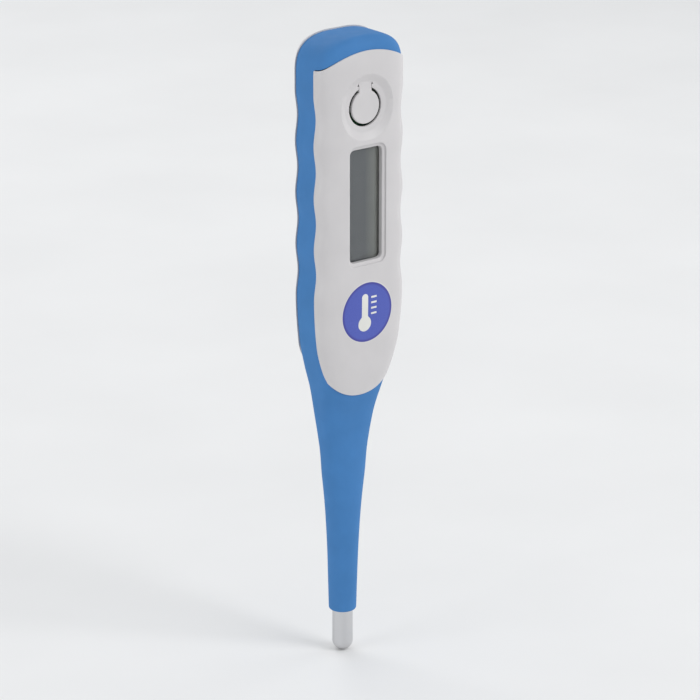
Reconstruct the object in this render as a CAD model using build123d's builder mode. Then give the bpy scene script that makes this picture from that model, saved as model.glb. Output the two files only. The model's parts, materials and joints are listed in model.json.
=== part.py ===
"""Digital thermometer with a flexible tip, standing on its axis with the tip down.

Millimetres. +Z runs up the length, the front with the display faces -Y, and +X is to the
right of someone who reads it. The origin is on the probe's axis, where the steel tip leaves
the neck.
"""

from build123d import *
from math import cos, pi, radians, tan
import os

os.makedirs("parts", exist_ok=True)

# ---------------------------------------------------------------- driving dimensions

TIP_LENGTH = 10.0  # bare steel tip below the neck
TIP_RADIUS = 2.35
TIP_WALL = 0.25
TIP_SEAT = 4.5  # length of the tip's tube held inside the neck
TIP_SEAT_RADIUS = 2.15  # that end of the tube is drawn in a little
POTTING_TOP = -2.0  # the resin round the sensor ends here
SENSOR_RADIUS = 0.65
SENSOR_LENGTH = 1.8
SENSOR_HEIGHT = -8.5  # middle of the sensor

BODY_TOP = 135.0
BODY_HALF_WIDTH = 11.7
BODY_FRONT = -9.0
REAR_FLAT = 3.5

DENT_DEPTH = 0.6  # finger grips along both sides
DENT_PITCH = 11.6
DENT_COUNT = 4
DENT_START = 76.4
LEVELS_PER_DENT = 4

DOME_START = 126.0
TURN_IN = 1.6  # the dome's outline passes this far inside the full width ...
TURN_RISE = 6.2  # ... at this height above its start
CROWN_IN = 5.0
CROWN_DROP = 1.3
CORNER_RADIUS = 2.8
LEAST_CORNER = 1.0  # for the inner forms
END_RADIUS = 2.5

SEAM_FRONT = -5.0  # face between the front cover and the soft body
SEAM_REAR = 1.9
COVER_WALL = 1.4
SOFT_INSET = 0.25  # the soft body lies this far under the covers
SOFT_WALL = 1.55
FRAME_OUTER = 1.6
FRAME_INNER = 2.4

TONGUE_END = 53.1
TONGUE_RADIUS = 11.0
TONGUE_REACH = 10.5
REAR_TONGUE_END = 57.0
ARCH_TOP = 131.6
ARCH_RADIUS = 21.0
ARCH_REACH = 13.0
ZONE_REACH = 16.0  # past the body on every side
NECK_REACH = 12.0  # past the neck on every side
CAVITY_LOW = 60.0
LEAD_ROOM = 2.2  # half width and depth of the way from the bore to the cavity

WINDOW_HEIGHT = 97.1
WINDOW_WIDTH = 8.7
WINDOW_LENGTH = 25.4
WINDOW_CORNER = 1.1
BEVEL = 0.5
BEVEL_DEPTH = 0.6
WINDOW_RIM_BACK = -7.4
RIM_MARGIN = 0.8  # the thicker rim reaches this far past the panel
LENS_WALL = 0.4
LENS_MARGIN = 0.8
PANEL_WIDTH = 10.8
PANEL_LENGTH = 28.4
PANEL_FRONT = -7.0
PANEL_BACK = -5.5
HOLDER_WALL = 1.4
HOLDER_PLAY = 0.05
HOLDER_WELL = 5.0  # half width of the well behind the panel
STRIP_INSIDE = 3.35
STRIP_OUTSIDE = 4.95
STRIP_HALF_LENGTH = 12.0

BUTTON_HEIGHT = 119.0
BUTTON_RADIUS = 3.75
BUTTON_GAP = 0.6
BUTTON_FRONT = -8.25
BUTTON_BACK = -7.6
BUTTON_EDGE = 0.2
STEM_RADIUS = 1.2
STEM_BACK = -3.1
BRIDGE_HALF_WIDTH = 1.7
BRIDGE_TOP = 124.2
BRIDGE_FRONT = -8.1
BRIDGE_BACK = -7.75
BRIDGE_ROOT = 2.0  # the bridge starts this far above the button's middle
BRIDGE_PLAY = 0.06
DISH_RADIUS = 7.2
DISH_FLOOR_RADIUS = 5.5
DISH_FLOOR = -8.1
DISH_EDGE = 0.35
SWITCH_RADIUS = 2.5
SWITCH_RISE = 0.45
SWITCH_SLOPE = 50  # degrees

BADGE_HEIGHT = 72.8
BADGE_RADIUS = 7.0
BADGE_PROUD = 0.04
BADGE_DEPTH = 0.12
BADGE_ROOM = 2.3  # length of the cylinder that the badge is cut from

BOARD_FRONT = -2.6
BOARD_WALL = 0.8
BOARD_BACK = BOARD_FRONT + BOARD_WALL
BOARD_WIDTH = 16.4
BOARD_LOW = 68.0
BOARD_HIGH = 129.0
BOARD_CORNER = 2.0
SCREW_HEIGHTS = (74.0, 126.4)
SCREW_RADIUS = 0.7
SCREW_PLAY = 0.15
SCREW_FRONT = -6.4
HEAD_RADIUS = 1.3
HEAD_WALL = 0.8
CROSS_LENGTH = 0.9
CROSS_WIDTH = 0.15
CROSS_DEPTH = 0.4
BOSS_RADIUS = 1.6
BOSS_FRONT = -8.0
COATING_HEIGHT = 98.5
COATING_RADIUS = 3.2
COATING_RISE = 1.1
COATING_EDGE = 0.9
CHIP_SIZE = (1.6, 0.5, 0.8)
CHIP_PLACES = ((-5.0, 104.0), (-2.5, 104.0), (5.5, 99.0), (5.5, 96.5), (-5.5, 96.0), (3.0, 79.5))

CELL_HEIGHT = 113.0
CELL_RADIUS = 3.95
CELL_THICKNESS = 3.6
CELL_FRONT = -1.25
CELL_EDGE = 0.3
CELL_HOLE_RADIUS = 4.3

DOOR_LOW = 103.0
DOOR_HALF_WIDTH = 6.2
DOOR_INNER = 2.5
DOOR_CLEARANCE = 0.08
RAIL_WIDTH = 0.8
RAIL_WALL = 0.5
RAIL_LOW = 105.0
RAIL_HIGH = 127.0
THUMB_COUNT = 5  # grooves for the thumb
THUMB_PITCH = 1.6
THUMB_START = 4.0  # above the door's lower edge
THUMB_HALF_LENGTH = 3.5
THUMB_WIDTH = 0.7
THUMB_DEPTH = 0.3

BUZZER_HEIGHT = 88.0
BUZZER_RADIUS = 6.0
BUZZER_WALL = 0.2
BUZZER_PLAY = 0.1
CERAMIC_RADIUS = 4.5
CERAMIC_WALL = 0.2

FRAME_PLAY = 0.1
FRAME_LOW = 63.0
FRAME_HIGH = 129.1
LOW_BAR = ((-8.9, 8.9), (-4.9, -3.5), (63.5, 66.0))
HIGH_BAR_HALF_WIDTH = 9.4
HIGH_BAR_FRONT = -0.7
HIGH_BAR_HEIGHT = 1.6
SHELF_INSIDE = 7.4
SHELF_OUTSIDE = 9.45
SHELF_WALL = 0.9
SHELF_LENGTH = 6.0
SHELF_LOWS = (70.0, 92.0, 121.0)
CRADLE_OUTSIDE = 5.0  # the walls each side of the cell
CRADLE_HALF_LENGTH = 3.5
ARM_HALF_LENGTH = 1.5

BORE_RADIUS = 0.9  # the leads' way through the neck
LEAD_RADIUS = 0.25
LEAD_SPACING = 0.35
LEAD_SPREAD = 1.2
LEAD_BEND = 2.0

SPRING_SHEET = 0.2  # thickness of the contact metal

FLEX_TOP = 40.0
FLEX_BOTTOM = 5.0
JOINT_COUNT = 6
JOINT_PITCH = (FLEX_TOP - FLEX_BOTTOM) / JOINT_COUNT
HINGES = [FLEX_TOP - (index + 0.5) * JOINT_PITCH for index in range(JOINT_COUNT)]
BEND_HALF_GAP = 8.0  # degrees, for the joints about X
SWAY_HALF_GAP = 5.5  # degrees, for the joints about Y

# Height, half width and front of the shoulders, from the neck to the first finger grip.
SHOULDERS = (
    (42.0, 6.35, -4.60),
    (47.0, 7.20, -5.05),
    (54.0, 8.55, -6.85),
    (60.0, 10.05, -8.10),
    (66.0, 11.15, -8.70),
    (76.4, 11.70, -9.00),
)

# Height, half width, front and rear of the neck's oval sections.
NECK = (
    (0.0, 3.10, -3.10, 3.10),
    (12.0, 3.45, -3.45, 3.30),
    (23.0, 4.05, -3.75, 3.32),
    (35.0, 5.35, -4.25, 3.35),
    (47.0, 7.20, -5.05, 3.45),
    (58.0, 9.20, -6.90, 3.45),
)

# ---------------------------------------------------------------- the outer form


def side_points(inset):
    """Points up the right side: the shoulder, then crest, flank and dent of each grip."""
    points = [(half_width - inset, height) for height, half_width, front in SHOULDERS]
    for level in range(1, DENT_COUNT * LEVELS_PER_DENT + 1):
        dent = DENT_DEPTH / 2 * (1 - cos(2 * pi * level / LEVELS_PER_DENT))
        height = DENT_START + level * DENT_PITCH / LEVELS_PER_DENT
        points.append((BODY_HALF_WIDTH - dent - inset, height))
    return points


def form(inset, low=SHOULDERS[0][0]):
    """The body's outer shape from the height low upwards, shrunk by inset."""
    side = side_points(inset)
    mirrored = [(-x, z) for x, z in side]
    half_width = BODY_HALF_WIDTH - inset
    top = BODY_TOP - inset
    turn = (half_width - TURN_IN, DOME_START + TURN_RISE - inset / 2)
    crown = (half_width - CROWN_IN, top - CROWN_DROP)
    left_turn, left_crown = (-turn[0], turn[1]), (-crown[0], crown[1])
    with BuildPart() as shape:
        with BuildSketch(Plane.XZ.offset(-ZONE_REACH)):
            with BuildLine():
                Line(mirrored[0], side[0])
                Spline(*side, tangents=((0.3, 1), (0, 1)))
                Line(side[-1], (half_width, DOME_START))
                ThreePointArc((half_width, DOME_START), turn, crown)
                ThreePointArc(crown, (0, top), left_crown)
                ThreePointArc(left_crown, left_turn, (-half_width, DOME_START))
                Line((-half_width, DOME_START), mirrored[-1])
                Spline(*mirrored, tangents=((-0.3, 1), (0, 1)))
            make_face()
        extrude(amount=2 * ZONE_REACH)
        with BuildSketch(Plane.YZ.offset(-ZONE_REACH)):
            with BuildLine():
                slope = [(y + inset, height) for height, x, y in SHOULDERS]
                Spline(*slope, tangents=((-0.1, 1), (0, 1)))
                front, rear = BODY_FRONT + inset, REAR_FLAT - inset
                bend = top - END_RADIUS
                slant = END_RADIUS * (1 - cos(pi / 4))
                Line(slope[-1], (front, bend))
                ThreePointArc((front, bend), (front + slant, top - slant), (front + END_RADIUS, top))
                Line((front + END_RADIUS, top), (rear - END_RADIUS, top))
                ThreePointArc((rear - END_RADIUS, top), (rear - slant, top - slant), (rear, bend))
                Polyline((rear, bend), (rear, SHOULDERS[0][0]), slope[0])
            make_face()
        extrude(amount=2 * ZONE_REACH, mode=Mode.INTERSECT)
        with BuildSketch(Plane.XY.offset(low)):
            with Locations((0, (BODY_FRONT + REAR_FLAT) / 2)):
                depth = REAR_FLAT - BODY_FRONT - 2 * inset
                RectangleRounded(2 * half_width, depth, max(CORNER_RADIUS - inset, LEAST_CORNER))
        extrude(amount=BODY_TOP, mode=Mode.INTERSECT)
    return shape.part


with BuildPart() as neck_form:
    for height, half_width, front, rear in NECK:
        with BuildSketch(Plane.XY.offset(height)):
            with Locations((0, (front + rear) / 2)):
                Ellipse(half_width, (rear - front) / 2)
    loft()


def block(x, y, z, mode=Mode.ADD):
    """A box in the part being made, given by its two limits along each axis."""
    with Locations(((x[0] + x[1]) / 2, (y[0] + y[1]) / 2, (z[0] + z[1]) / 2)):
        Box(x[1] - x[0], y[1] - y[0], z[1] - z[0], mode=mode)


def round_bar(radius, y, height, mode=Mode.ADD):
    """A cylinder in the part being made, running front to back."""
    with Locations((0, (y[0] + y[1]) / 2, height)):
        Cylinder(radius, y[1] - y[0], rotation=(90, 0, 0), mode=mode)


def span(side, inside, outside):
    """Limits along X of what lies between two distances from the middle, on one side of it."""
    return (inside, outside) if side > 0 else (-outside, -inside)


def about(middle, half_length):
    """Limits of what reaches half_length each way from its middle."""
    return (middle - half_length, middle + half_length)


def cover_zone(tongue_end, y, arched):
    """The room of a cover: below the top arch and above the end of its tongue."""
    corner = tongue_end + TONGUE_RADIUS - (TONGUE_RADIUS**2 - TONGUE_REACH**2) ** 0.5
    shoulder = ARCH_TOP - ARCH_RADIUS + (ARCH_RADIUS**2 - ARCH_REACH**2) ** 0.5
    with BuildPart() as shape:
        with BuildSketch(Plane.XZ.offset(-y[1])):
            with BuildLine():
                left, right = (-TONGUE_REACH, corner), (TONGUE_REACH, corner)
                ThreePointArc(left, (0, tongue_end), right)
                if arched:
                    ends = [(ZONE_REACH, shoulder), (ARCH_REACH, shoulder)]
                    Polyline(right, (ZONE_REACH, corner), *ends)
                    ThreePointArc((ARCH_REACH, shoulder), (0, ARCH_TOP), (-ARCH_REACH, shoulder))
                    ends = [(-ARCH_REACH, shoulder), (-ZONE_REACH, shoulder)]
                    Polyline(*ends, (-ZONE_REACH, corner), left)
                else:
                    top = BODY_TOP + ZONE_REACH
                    Polyline(right, (ZONE_REACH, corner), (ZONE_REACH, top))
                    Polyline((ZONE_REACH, top), (-ZONE_REACH, top), (-ZONE_REACH, corner), left)
            make_face()
        extrude(amount=y[1] - y[0])
    return shape.part


def finish(part, name):
    part.label = name
    export_step(part, f"parts/{name}.step")


outer = form(0.0)
soft_outer = form(SOFT_INSET)
cover_cavity = form(COVER_WALL, CAVITY_LOW)
soft_cavity = form(SOFT_WALL, CAVITY_LOW)
frame_outer = form(FRAME_OUTER, CAVITY_LOW)
frame_inner = form(FRAME_INNER, CAVITY_LOW)
badge_floor = form(BADGE_DEPTH)
badge_face = form(-BADGE_PROUD)
front_zone = cover_zone(TONGUE_END, (BODY_FRONT - 1, SEAM_FRONT), True)
rear_zone = cover_zone(REAR_TONGUE_END, (SEAM_REAR, REAR_FLAT + 1), False)

# ---------------------------------------------------------------- front cover

with BuildPart() as window_cut:
    with BuildSketch(Plane.XZ.offset(-BODY_FRONT + 0.1)):
        with Locations((0, WINDOW_HEIGHT)):
            grow = 2 * BEVEL * (BEVEL_DEPTH + 0.1) / BEVEL_DEPTH
            RectangleRounded(WINDOW_WIDTH + grow, WINDOW_LENGTH + grow, WINDOW_CORNER + grow / 2)
    with BuildSketch(Plane.XZ.offset(-BODY_FRONT - BEVEL_DEPTH)):
        with Locations((0, WINDOW_HEIGHT)):
            RectangleRounded(WINDOW_WIDTH, WINDOW_LENGTH, WINDOW_CORNER)
    loft()
    with BuildSketch(Plane.XZ.offset(-BODY_FRONT - BEVEL_DEPTH)):
        with Locations((0, WINDOW_HEIGHT)):
            RectangleRounded(WINDOW_WIDTH, WINDOW_LENGTH, WINDOW_CORNER)
    extrude(amount=BODY_FRONT + BEVEL_DEPTH)

with BuildPart() as button_dish:
    with BuildSketch(Plane.XZ.offset(-DISH_FLOOR)):
        with Locations((0, BUTTON_HEIGHT)):
            Circle(DISH_FLOOR_RADIUS)
    with BuildSketch(Plane.XZ.offset(-BODY_FRONT)):
        with Locations((0, BUTTON_HEIGHT)):
            Circle(DISH_RADIUS)
    loft()
    bottom = button_dish.edges().filter_by(GeomType.CIRCLE).sort_by(Axis.Y)[-1]
    fillet(bottom, DISH_EDGE)

with BuildPart() as badge_room:
    round_bar(BADGE_RADIUS, (BODY_FRONT - 1, BODY_FRONT + BADGE_ROOM), BADGE_HEIGHT)
    add(badge_floor, mode=Mode.SUBTRACT)

with BuildPart() as front_cover:
    add(outer)
    add(front_zone, mode=Mode.INTERSECT)
    add(cover_cavity, mode=Mode.SUBTRACT)
    rim_x = about(0, PANEL_WIDTH / 2 + RIM_MARGIN)
    rim_z = about(WINDOW_HEIGHT, PANEL_LENGTH / 2 + RIM_MARGIN)
    block(rim_x, (BODY_FRONT + COVER_WALL, WINDOW_RIM_BACK), rim_z)
    for height in SCREW_HEIGHTS:
        round_bar(BOSS_RADIUS, (BOSS_FRONT, BOARD_FRONT), height)
    add(window_cut.part, mode=Mode.SUBTRACT)
    add(button_dish.part, mode=Mode.SUBTRACT)
    through = (BODY_FRONT - 1, SEAM_FRONT + 1)
    round_bar(BUTTON_RADIUS + BUTTON_GAP, through, BUTTON_HEIGHT, mode=Mode.SUBTRACT)
    slot_x = about(0, BRIDGE_HALF_WIDTH + BRIDGE_PLAY)
    block(slot_x, through, (BUTTON_HEIGHT, BRIDGE_TOP + BRIDGE_PLAY), mode=Mode.SUBTRACT)
    add(badge_room.part, mode=Mode.SUBTRACT)
    for height in SCREW_HEIGHTS:
        round_bar(SCREW_RADIUS, (SCREW_FRONT, BOARD_FRONT), height, mode=Mode.SUBTRACT)
finish(front_cover.part, "front_cover")

with BuildPart() as round_badge:
    add(badge_room.part)
    add(badge_face, mode=Mode.INTERSECT)
finish(round_badge.part, "round_badge")

with BuildPart() as lcd_window:
    with BuildSketch(Plane.XZ.offset(-WINDOW_RIM_BACK)):
        with Locations((0, WINDOW_HEIGHT)):
            wide, long = WINDOW_WIDTH + 2 * LENS_MARGIN, WINDOW_LENGTH + 2 * LENS_MARGIN
            RectangleRounded(wide, long, WINDOW_CORNER)
    extrude(amount=-LENS_WALL)
finish(lcd_window.part, "lcd_window")

# ---------------------------------------------------------------- button

with BuildPart() as button:
    round_bar(BUTTON_RADIUS, (BUTTON_FRONT, BUTTON_BACK), BUTTON_HEIGHT)
    rim_edge = button.edges().filter_by(GeomType.CIRCLE).sort_by(Axis.Y)[0]
    fillet(rim_edge, BUTTON_EDGE)
    tab_z = (BUTTON_HEIGHT + BRIDGE_ROOT, BRIDGE_TOP)
    block(about(0, BRIDGE_HALF_WIDTH), (BRIDGE_FRONT, BRIDGE_BACK), tab_z)
    round_bar(STEM_RADIUS, (BUTTON_BACK - 0.1, STEM_BACK), BUTTON_HEIGHT)
finish(button.part, "button")

with BuildPart() as switch_dome:
    with BuildSketch(Plane.XZ.offset(-BOARD_FRONT)):
        with Locations((0, BUTTON_HEIGHT)):
            Circle(SWITCH_RADIUS)
    extrude(amount=SWITCH_RISE, taper=SWITCH_SLOPE)
finish(switch_dome.part, "switch_dome")

# ---------------------------------------------------------------- rear cover and door

groove = DOOR_HALF_WIDTH + RAIL_WIDTH + DOOR_CLEARANCE
opening = DOOR_HALF_WIDTH + DOOR_CLEARANCE
door_floor = DOOR_INNER - DOOR_CLEARANCE
rail_roof = DOOR_INNER + RAIL_WALL + DOOR_CLEARANCE

with BuildPart() as rear_cover:
    add(outer)
    add(rear_zone, mode=Mode.INTERSECT)
    add(cover_cavity, mode=Mode.SUBTRACT)
    door_z = (DOOR_LOW - DOOR_CLEARANCE, BODY_TOP + 1)
    block(about(0, opening), (door_floor, REAR_FLAT + 1), door_z, mode=Mode.SUBTRACT)
    block(about(0, groove), (door_floor, rail_roof), door_z, mode=Mode.SUBTRACT)
    round_bar(CELL_HOLE_RADIUS, (SEAM_REAR - 1, REAR_FLAT + 1), CELL_HEIGHT, mode=Mode.SUBTRACT)
finish(rear_cover.part, "rear_cover")

with BuildPart() as battery_door:
    add(outer)
    door_y = (DOOR_INNER, REAR_FLAT)
    block(about(0, DOOR_HALF_WIDTH), door_y, (DOOR_LOW, BODY_TOP), mode=Mode.INTERSECT)
    rail_x = about(0, DOOR_HALF_WIDTH + RAIL_WIDTH)
    block(rail_x, (DOOR_INNER, DOOR_INNER + RAIL_WALL), (RAIL_LOW, RAIL_HIGH))
    for index in range(THUMB_COUNT):
        low = DOOR_LOW + THUMB_START + THUMB_PITCH * index
        thumb_y = (REAR_FLAT - THUMB_DEPTH, REAR_FLAT + 1)
        block(about(0, THUMB_HALF_LENGTH), thumb_y, (low, low + THUMB_WIDTH), mode=Mode.SUBTRACT)
finish(battery_door.part, "battery_door")

# ---------------------------------------------------------------- soft body and neck


def hinge_gap(index):
    """The free wedges each side of a neck joint's axis."""
    about_x = index % 2 == 0
    rise = NECK_REACH * tan(radians(BEND_HALF_GAP if about_x else SWAY_HALF_GAP))
    level = HINGES[index]
    with BuildPart() as shape:
        plane = Plane.YZ if about_x else Plane.XZ
        with BuildSketch(plane.offset(-NECK_REACH)):
            for reach in (-NECK_REACH, NECK_REACH):
                with BuildLine():
                    corners = [(0, level), (reach, level + rise), (reach, level - rise)]
                    Polyline(*corners, close=True)
                make_face()
        extrude(amount=2 * NECK_REACH)
    return shape.part


GAPS = [hinge_gap(index) for index in range(JOINT_COUNT)]
NECK_ROOM = about(0, NECK_REACH)


def neck_piece(high, low, gaps, name):
    """A slice of the neck between two heights, cut back at its joints."""
    with BuildPart() as piece:
        add(neck_form.part)
        block(NECK_ROOM, NECK_ROOM, (low, high), mode=Mode.INTERSECT)
        for index in gaps:
            add(GAPS[index], mode=Mode.SUBTRACT)
        with Locations((0, 0, (low + high) / 2)):
            Cylinder(BORE_RADIUS, high - low, mode=Mode.SUBTRACT)
        if low == 0:
            with Locations((0, 0, TIP_SEAT / 2)):
                Cylinder(TIP_SEAT_RADIUS, TIP_SEAT, mode=Mode.SUBTRACT)
    finish(piece.part, name)


with BuildPart() as soft_body:
    add(soft_outer)
    block(NECK_ROOM, NECK_ROOM, (SHOULDERS[0][0], NECK[-1][0]), mode=Mode.SUBTRACT)
    add(neck_form.part)
    add(front_zone, mode=Mode.SUBTRACT)
    add(rear_zone, mode=Mode.SUBTRACT)
    add(soft_cavity, mode=Mode.SUBTRACT)
    block(NECK_ROOM, NECK_ROOM, (NECK[0][0] - 1, HINGES[0]), mode=Mode.SUBTRACT)
    add(GAPS[0], mode=Mode.SUBTRACT)
    room_y = (-LEAD_ROOM, BORE_RADIUS)
    block(about(0, LEAD_ROOM), room_y, (CAVITY_LOW - 4, CAVITY_LOW + 1), mode=Mode.SUBTRACT)
    with Locations((0, 0, (HINGES[0] + CAVITY_LOW) / 2)):
        Cylinder(BORE_RADIUS, CAVITY_LOW - HINGES[0] + 2, mode=Mode.SUBTRACT)
finish(soft_body.part, "soft_body")

for index in range(JOINT_COUNT - 1):
    gaps = (index, index + 1)
    neck_piece(HINGES[index], HINGES[index + 1], gaps, f"neck_link_{index + 1}")
neck_piece(HINGES[-1], 0, (JOINT_COUNT - 1,), "neck_end")

# ---------------------------------------------------------------- probe tip

nose = -TIP_LENGTH + TIP_RADIUS  # height where the tip's round end starts
wall_radius = TIP_RADIUS - TIP_WALL
seat_wall_radius = TIP_SEAT_RADIUS - TIP_WALL

with BuildPart() as probe_tip:
    with BuildSketch(Plane.XZ):
        with BuildLine():
            slant = TIP_RADIUS * cos(pi / 4)
            ThreePointArc((0, -TIP_LENGTH), (slant, nose - slant), (TIP_RADIUS, nose))
            Polyline((TIP_RADIUS, nose), (TIP_RADIUS, 0), (TIP_SEAT_RADIUS, 0))
            Polyline((TIP_SEAT_RADIUS, 0), (TIP_SEAT_RADIUS, TIP_SEAT), (seat_wall_radius, TIP_SEAT))
            Polyline((seat_wall_radius, TIP_SEAT), (seat_wall_radius, -TIP_WALL))
            Polyline((seat_wall_radius, -TIP_WALL), (wall_radius, -TIP_WALL), (wall_radius, nose))
            slant = wall_radius * cos(pi / 4)
            ThreePointArc((wall_radius, nose), (slant, nose - slant), (0, nose - wall_radius))
            Line((0, nose - wall_radius), (0, -TIP_LENGTH))
        make_face()
    revolve(axis=Axis.Z)
finish(probe_tip.part, "probe_tip")

with BuildPart() as thermistor:
    with Locations((0, 0, SENSOR_HEIGHT)):
        Cylinder(SENSOR_RADIUS, SENSOR_LENGTH)
    fillet(thermistor.edges().filter_by(GeomType.CIRCLE), SENSOR_RADIUS - 0.15)
finish(thermistor.part, "thermistor")

with BuildPart() as thermistor_leads:
    for side in (-1, 1):
        near, far = side * LEAD_SPACING, side * LEAD_SPREAD
        board_y = BOARD_BACK + LEAD_RADIUS
        start = (near, 0, SENSOR_HEIGHT + SENSOR_LENGTH / 2)
        points = [start, (near, 0, CAVITY_LOW - 1)]
        points += [(far, board_y, BOARD_LOW + 0.5), (far, board_y, BOARD_LOW + 3)]
        with BuildLine():
            route = FilletPolyline(*points, radius=LEAD_BEND)
        with BuildSketch(Plane(origin=start, z_dir=(0, 0, 1))):
            Circle(LEAD_RADIUS)
        sweep(path=route)
finish(thermistor_leads.part, "thermistor_leads")

with BuildPart() as tip_potting:
    with BuildSketch(Plane.XZ):
        with BuildLine():
            bottom_point, top_point = (0, nose - wall_radius), (0, POTTING_TOP)
            Polyline(bottom_point, top_point, (wall_radius, POTTING_TOP), (wall_radius, nose))
            slant = wall_radius * cos(pi / 4)
            ThreePointArc((wall_radius, nose), (slant, nose - slant), bottom_point)
        make_face()
    revolve(axis=Axis.Z)
    add(thermistor.part, mode=Mode.SUBTRACT)
    add(thermistor_leads.part, mode=Mode.SUBTRACT)
finish(tip_potting.part, "tip_potting")

# ---------------------------------------------------------------- inner frame

with BuildPart() as inner_frame:
    add(frame_outer)
    frame_y = (SEAM_FRONT + FRAME_PLAY, REAR_FLAT - FRAME_INNER - FRAME_PLAY)
    block(about(0, ZONE_REACH), frame_y, (FRAME_LOW, FRAME_HIGH), mode=Mode.INTERSECT)
    add(frame_inner, mode=Mode.SUBTRACT)
    block(*LOW_BAR)
    high_bar_y = (HIGH_BAR_FRONT, frame_y[1])
    high_bar_z = (FRAME_HIGH - HIGH_BAR_HEIGHT, FRAME_HIGH)
    block(about(0, HIGH_BAR_HALF_WIDTH), high_bar_y, high_bar_z)
    shelf_y = (BOARD_BACK, BOARD_BACK + SHELF_WALL)
    for side in (-1, 1):
        for low in SHELF_LOWS:
            block(span(side, SHELF_INSIDE, SHELF_OUTSIDE), shelf_y, (low, low + SHELF_LENGTH))
        arm_z = about(CELL_HEIGHT, ARM_HALF_LENGTH)
        block(span(side, CELL_HOLE_RADIUS, SHELF_OUTSIDE), shelf_y, arm_z)
        cradle_y = (BOARD_BACK, frame_y[1])
        cradle_z = about(CELL_HEIGHT, CRADLE_HALF_LENGTH)
        block(span(side, CELL_HOLE_RADIUS, CRADLE_OUTSIDE), cradle_y, cradle_z)
finish(inner_frame.part, "inner_frame")

# ---------------------------------------------------------------- display and board

with BuildPart() as lcd_panel:
    panel_x = about(0, PANEL_WIDTH / 2)
    panel_z = about(WINDOW_HEIGHT, PANEL_LENGTH / 2)
    block(panel_x, (PANEL_FRONT, PANEL_BACK), panel_z)
finish(lcd_panel.part, "lcd_panel")

with BuildPart() as lcd_holder:
    outside_x = about(0, PANEL_WIDTH / 2 + HOLDER_WALL)
    outside_z = about(WINDOW_HEIGHT, PANEL_LENGTH / 2 + HOLDER_WALL)
    block(outside_x, (PANEL_FRONT, BOARD_FRONT), outside_z)
    room_x = about(0, PANEL_WIDTH / 2 + HOLDER_PLAY)
    room_z = about(WINDOW_HEIGHT, PANEL_LENGTH / 2 + HOLDER_PLAY)
    block(room_x, (PANEL_FRONT, PANEL_BACK), room_z, mode=Mode.SUBTRACT)
    well_z = about(WINDOW_HEIGHT, PANEL_LENGTH / 2 - 1)
    block(about(0, HOLDER_WELL), (PANEL_BACK, BOARD_FRONT), well_z, mode=Mode.SUBTRACT)
finish(lcd_holder.part, "lcd_holder")

with BuildPart() as contact_strips:
    for side in (-1, 1):
        strip_z = about(WINDOW_HEIGHT, STRIP_HALF_LENGTH)
        block(span(side, STRIP_INSIDE, STRIP_OUTSIDE), (PANEL_BACK, BOARD_FRONT), strip_z)
finish(contact_strips.part, "contact_strips")

with BuildPart() as circuit_board:
    with BuildSketch(Plane.XZ.offset(-BOARD_BACK)):
        with Locations((0, (BOARD_LOW + BOARD_HIGH) / 2)):
            RectangleRounded(BOARD_WIDTH, BOARD_HIGH - BOARD_LOW, BOARD_CORNER)
        with Locations(*[(0, height) for height in SCREW_HEIGHTS]):
            Circle(SCREW_RADIUS + SCREW_PLAY, mode=Mode.SUBTRACT)
    extrude(amount=BOARD_WALL)
finish(circuit_board.part, "circuit_board")

with BuildPart() as board_screws:
    for height in SCREW_HEIGHTS:
        head_back = BOARD_BACK + HEAD_WALL
        round_bar(SCREW_RADIUS, (SCREW_FRONT, BOARD_BACK), height)
        round_bar(HEAD_RADIUS, (BOARD_BACK, head_back), height)
        cross_y = (head_back - CROSS_DEPTH, head_back + CROSS_DEPTH)
        long, short = about(0, CROSS_LENGTH), about(0, CROSS_WIDTH)
        block(long, cross_y, about(height, CROSS_WIDTH), mode=Mode.SUBTRACT)
        block(short, cross_y, about(height, CROSS_LENGTH), mode=Mode.SUBTRACT)
finish(board_screws.part, "board_screws")

with BuildPart() as chip_coating:
    round_bar(COATING_RADIUS, (BOARD_BACK, BOARD_BACK + COATING_RISE), COATING_HEIGHT)
    crest = chip_coating.edges().filter_by(GeomType.CIRCLE).sort_by(Axis.Y)[-1]
    fillet(crest, COATING_EDGE)
finish(chip_coating.part, "chip_coating")

with BuildPart() as chip_components:
    for x, height in CHIP_PLACES:
        with Locations((x, BOARD_BACK + CHIP_SIZE[1] / 2, height)):
            Box(*CHIP_SIZE)
finish(chip_components.part, "chip_components")

# ---------------------------------------------------------------- buzzer

buzzer_back = REAR_FLAT - COVER_WALL - BUZZER_PLAY
buzzer_front = buzzer_back - BUZZER_WALL
ceramic_front = buzzer_front - CERAMIC_WALL

with BuildPart() as buzzer_plate:
    round_bar(BUZZER_RADIUS, (buzzer_front, buzzer_back), BUZZER_HEIGHT)
finish(buzzer_plate.part, "buzzer_plate")

with BuildPart() as buzzer_ceramic:
    round_bar(CERAMIC_RADIUS, (ceramic_front, buzzer_front), BUZZER_HEIGHT)
finish(buzzer_ceramic.part, "buzzer_ceramic")


def leaf(points, width, x):
    """A bent strip of spring metal in the part being made, outlined in the YZ plane."""
    with BuildSketch(Plane.YZ.offset(x - width / 2)) as strip:
        with BuildLine():
            Polyline(*points, close=True)
        make_face()
    extrude(strip.sketch, amount=width)


foot_front, foot_back = BOARD_BACK, BOARD_BACK + SPRING_SHEET

with BuildPart() as buzzer_springs:
    for side, above, reach in ((1, 3.0, ceramic_front), (-1, 5.2, buzzer_front)):
        post = BUZZER_HEIGHT + side * above
        inner = post - side * 0.3
        tail = post - side * 3
        points = [(foot_front, post), (foot_front, tail), (foot_back, tail)]
        points += [(foot_back, inner), (reach, inner), (reach, post)]
        leaf(points, 1.4, 1.0 * side)
finish(buzzer_springs.part, "buzzer_springs")

# ---------------------------------------------------------------- battery and contacts

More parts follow.
